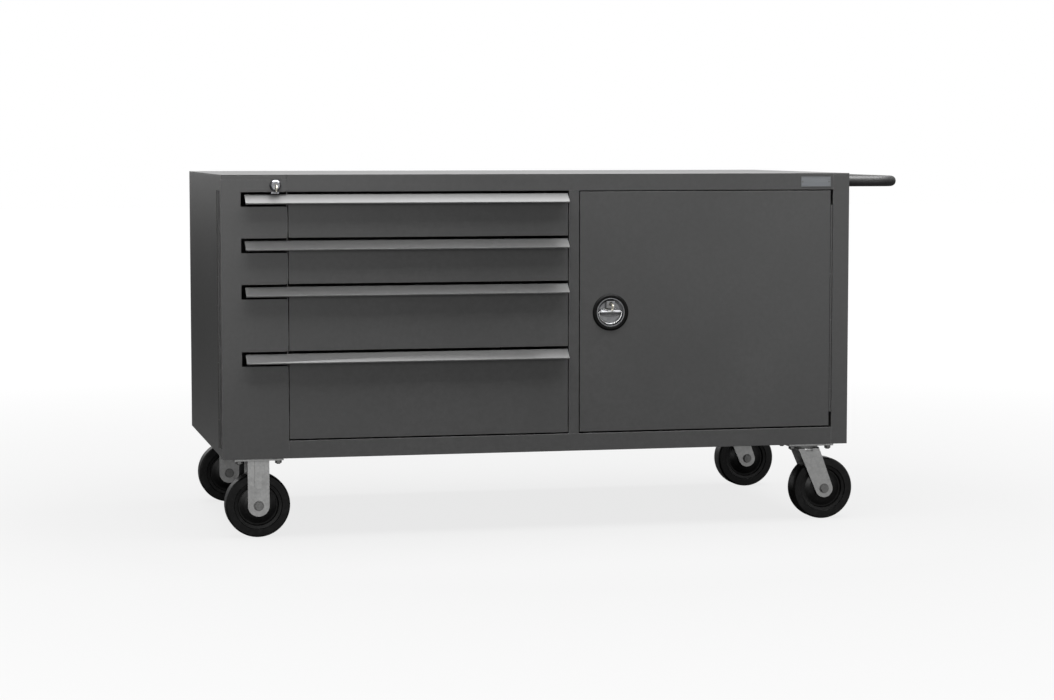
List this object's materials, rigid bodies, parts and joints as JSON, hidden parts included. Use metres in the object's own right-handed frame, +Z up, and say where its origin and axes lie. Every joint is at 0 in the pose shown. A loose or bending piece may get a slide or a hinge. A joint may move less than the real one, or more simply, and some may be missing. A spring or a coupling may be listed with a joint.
{
  "type": "mobile workbench",
  "caption": "Steel workbench cabinet on casters with sliding drawers behind a hinged locking flap, a cupboard with a round latched door, and a push handle.",
  "frame": {"origin": "on the floor under the middle of the overall box, push handle, hinge barrel and key included", "axes": "+X towards the push handle end, -Y towards the drawers' and door's front, +Z up"},
  "size_m": [1.6956, 0.7957, 0.8509],
  "materials": {
    "grey_powder_coat": "grey textured powder coat on folded sheet steel, satin",
    "zinc_plated_steel": "bright zinc plate, dulled",
    "chrome_plate": "polished chrome plate on a die casting",
    "nickel_brass": "nickel plated brass",
    "black_moulded_ring": "black moulded plastic, slight sheen",
    "satin_aluminium": "satin anodised, blank",
    "black_phenolic": "moulded phenolic, semi-gloss"
  },
  "bodies": {
    "cabinet": {"worktop": "grey_powder_coat", "left_side_panel": "grey_powder_coat", "right_side_panel": "grey_powder_coat", "back_panel": "grey_powder_coat", "bottom_panel": "grey_powder_coat", "drawer_bay_panel": "grey_powder_coat", "centre_divider": "grey_powder_coat", "lower_rail": "grey_powder_coat", "cupboard_shelf": "grey_powder_coat", "shelf_angles": "grey_powder_coat", "nameplate": "satin_aluminium", "push_handle": "grey_powder_coat", "handle_bolts": "zinc_plated_steel", "flap_hinge_side_leaf": "grey_powder_coat", "door_hinge_frame_leaf": "grey_powder_coat", "hinge_pins": "zinc_plated_steel", "slide_outer_members": "zinc_plated_steel", "front_rigid_fork": "zinc_plated_steel", "rear_rigid_fork": "zinc_plated_steel", "rigid_axle_bolts": "zinc_plated_steel", "swivel_top_plates": "zinc_plated_steel", "caster_bolts": "zinc_plated_steel", "caster_nuts": "zinc_plated_steel"},
    "door": {"door_panel": "grey_powder_coat", "door_hinge_leaf": "grey_powder_coat", "latch_bezel": "black_moulded_ring"},
    "latch": {"latch_dish": "chrome_plate", "latch_cam": "zinc_plated_steel"},
    "ring": {"latch_ring": "chrome_plate"},
    "door_lock": {"door_lock_plug": "chrome_plate", "door_key": "nickel_brass"},
    "flap": {"lock_flap": "grey_powder_coat", "flap_hinge_leaf": "grey_powder_coat", "flap_lock_body": "chrome_plate"},
    "flap_lock": {"flap_lock_plug": "chrome_plate", "flap_key": "nickel_brass"},
    "drawer_1": {"drawer_1_box": "grey_powder_coat", "drawer_1_front": "grey_powder_coat", "drawer_1_slide_inner": "zinc_plated_steel"},
    "slide_mid_1": {"drawer_1_slide_mid": "zinc_plated_steel"},
    "drawer_2": {"drawer_2_box": "grey_powder_coat", "drawer_2_front": "grey_powder_coat", "drawer_2_slide_inner": "zinc_plated_steel"},
    "slide_mid_2": {"drawer_2_slide_mid": "zinc_plated_steel"},
    "drawer_3": {"drawer_3_box": "grey_powder_coat", "drawer_3_front": "grey_powder_coat", "drawer_3_slide_inner": "zinc_plated_steel"},
    "slide_mid_3": {"drawer_3_slide_mid": "zinc_plated_steel"},
    "drawer_4": {"drawer_4_box": "grey_powder_coat", "drawer_4_front": "grey_powder_coat", "drawer_4_slide_inner": "zinc_plated_steel"},
    "slide_mid_4": {"drawer_4_slide_mid": "zinc_plated_steel"},
    "front_swivel": {"front_swivel_fork": "zinc_plated_steel", "front_swivel_axle": "zinc_plated_steel"},
    "front_left_wheel": {"front_left_wheel": "black_phenolic"},
    "front_right_wheel": {"front_right_wheel": "black_phenolic"},
    "rear_swivel": {"rear_swivel_fork": "zinc_plated_steel", "rear_swivel_axle": "zinc_plated_steel"},
    "rear_left_wheel": {"rear_left_wheel": "black_phenolic"},
    "rear_right_wheel": {"rear_right_wheel": "black_phenolic"}
  },
  "joints": [
    {"name": "door_hinge", "type": "hinge", "parent": "cabinet", "child": "door", "pos_m": [0.6404, -0.36215, 0.52135], "axis": [0, 0, 1], "range_deg": [0, 105]},
    {"name": "latch_turn", "type": "hinge", "parent": "door", "child": "latch", "pos_m": [0.08605, -0.36715, 0.5209], "axis": [0, 1, 0], "range_deg": [0, 90]},
    {"name": "ring_fold", "type": "hinge", "parent": "latch", "child": "ring", "pos_m": [0.08605, -0.36215, 0.5209], "axis": [-1, 0, 0], "range_deg": [0, 80]},
    {"name": "door_key_turn", "type": "hinge", "parent": "latch", "child": "door_lock", "pos_m": [0.08605, -0.36715, 0.5409], "axis": [0, 1, 0], "range_deg": [0, 90]},
    {"name": "flap_hinge", "type": "hinge", "parent": "cabinet", "child": "flap", "pos_m": [-0.84375, -0.33315, 0.5207], "axis": [0, 0, -1], "range_deg": [0, 170]},
    {"name": "flap_key_turn", "type": "hinge", "parent": "flap", "child": "flap_lock", "pos_m": [-0.71485, -0.36415, 0.8259], "axis": [0, 1, 0], "range_deg": [0, 90]},
    {"name": "drawer_1_slide", "type": "slide", "parent": "cabinet", "child": "drawer_1", "axis": [0, -1, 0], "range_m": [0, 0.56]},
    {"name": "slide_mid_1_run", "type": "slide", "parent": "cabinet", "child": "slide_mid_1", "axis": [0, -1, 0], "range_m": [0, 0.28]},
    {"name": "drawer_2_slide", "type": "slide", "parent": "cabinet", "child": "drawer_2", "axis": [0, -1, 0], "range_m": [0, 0.56]},
    {"name": "slide_mid_2_run", "type": "slide", "parent": "cabinet", "child": "slide_mid_2", "axis": [0, -1, 0], "range_m": [0, 0.28]},
    {"name": "drawer_3_slide", "type": "slide", "parent": "cabinet", "child": "drawer_3", "axis": [0, -1, 0], "range_m": [0, 0.56]},
    {"name": "slide_mid_3_run", "type": "slide", "parent": "cabinet", "child": "slide_mid_3", "axis": [0, -1, 0], "range_m": [0, 0.28]},
    {"name": "drawer_4_slide", "type": "slide", "parent": "cabinet", "child": "drawer_4", "axis": [0, -1, 0], "range_m": [0, 0.56]},
    {"name": "slide_mid_4_run", "type": "slide", "parent": "cabinet", "child": "slide_mid_4", "axis": [0, -1, 0], "range_m": [0, 0.28]},
    {"name": "front_left_spin", "type": "hinge", "parent": "cabinet", "child": "front_left_wheel", "pos_m": [-0.75425, -0.29415, 0.0762], "axis": [0, 1, 0], "continuous": true},
    {"name": "front_right_swivel", "type": "hinge", "parent": "cabinet", "child": "front_swivel", "pos_m": [0.59975, -0.29415, 0.1761], "axis": [0, 0, 1], "continuous": true},
    {"name": "front_right_spin", "type": "hinge", "parent": "front_swivel", "child": "front_right_wheel", "pos_m": [0.63975, -0.29415, 0.0762], "axis": [0, 1, 0], "continuous": true},
    {"name": "rear_left_spin", "type": "hinge", "parent": "cabinet", "child": "rear_left_wheel", "pos_m": [-0.75425, 0.32785, 0.0762], "axis": [0, 1, 0], "continuous": true},
    {"name": "rear_right_swivel", "type": "hinge", "parent": "cabinet", "child": "rear_swivel", "pos_m": [0.59975, 0.32785, 0.1761], "axis": [0, 0, 1], "continuous": true},
    {"name": "rear_right_spin", "type": "hinge", "parent": "rear_swivel", "child": "rear_right_wheel", "pos_m": [0.63975, 0.32785, 0.0762], "axis": [0, 1, 0], "continuous": true}
  ],
  "couplings": [
    {"joint": "slide_mid_1_run", "follows": "drawer_1_slide", "ratio": 0.5},
    {"joint": "slide_mid_2_run", "follows": "drawer_2_slide", "ratio": 0.5},
    {"joint": "slide_mid_3_run", "follows": "drawer_3_slide", "ratio": 0.5},
    {"joint": "slide_mid_4_run", "follows": "drawer_4_slide", "ratio": 0.5}
  ]
}
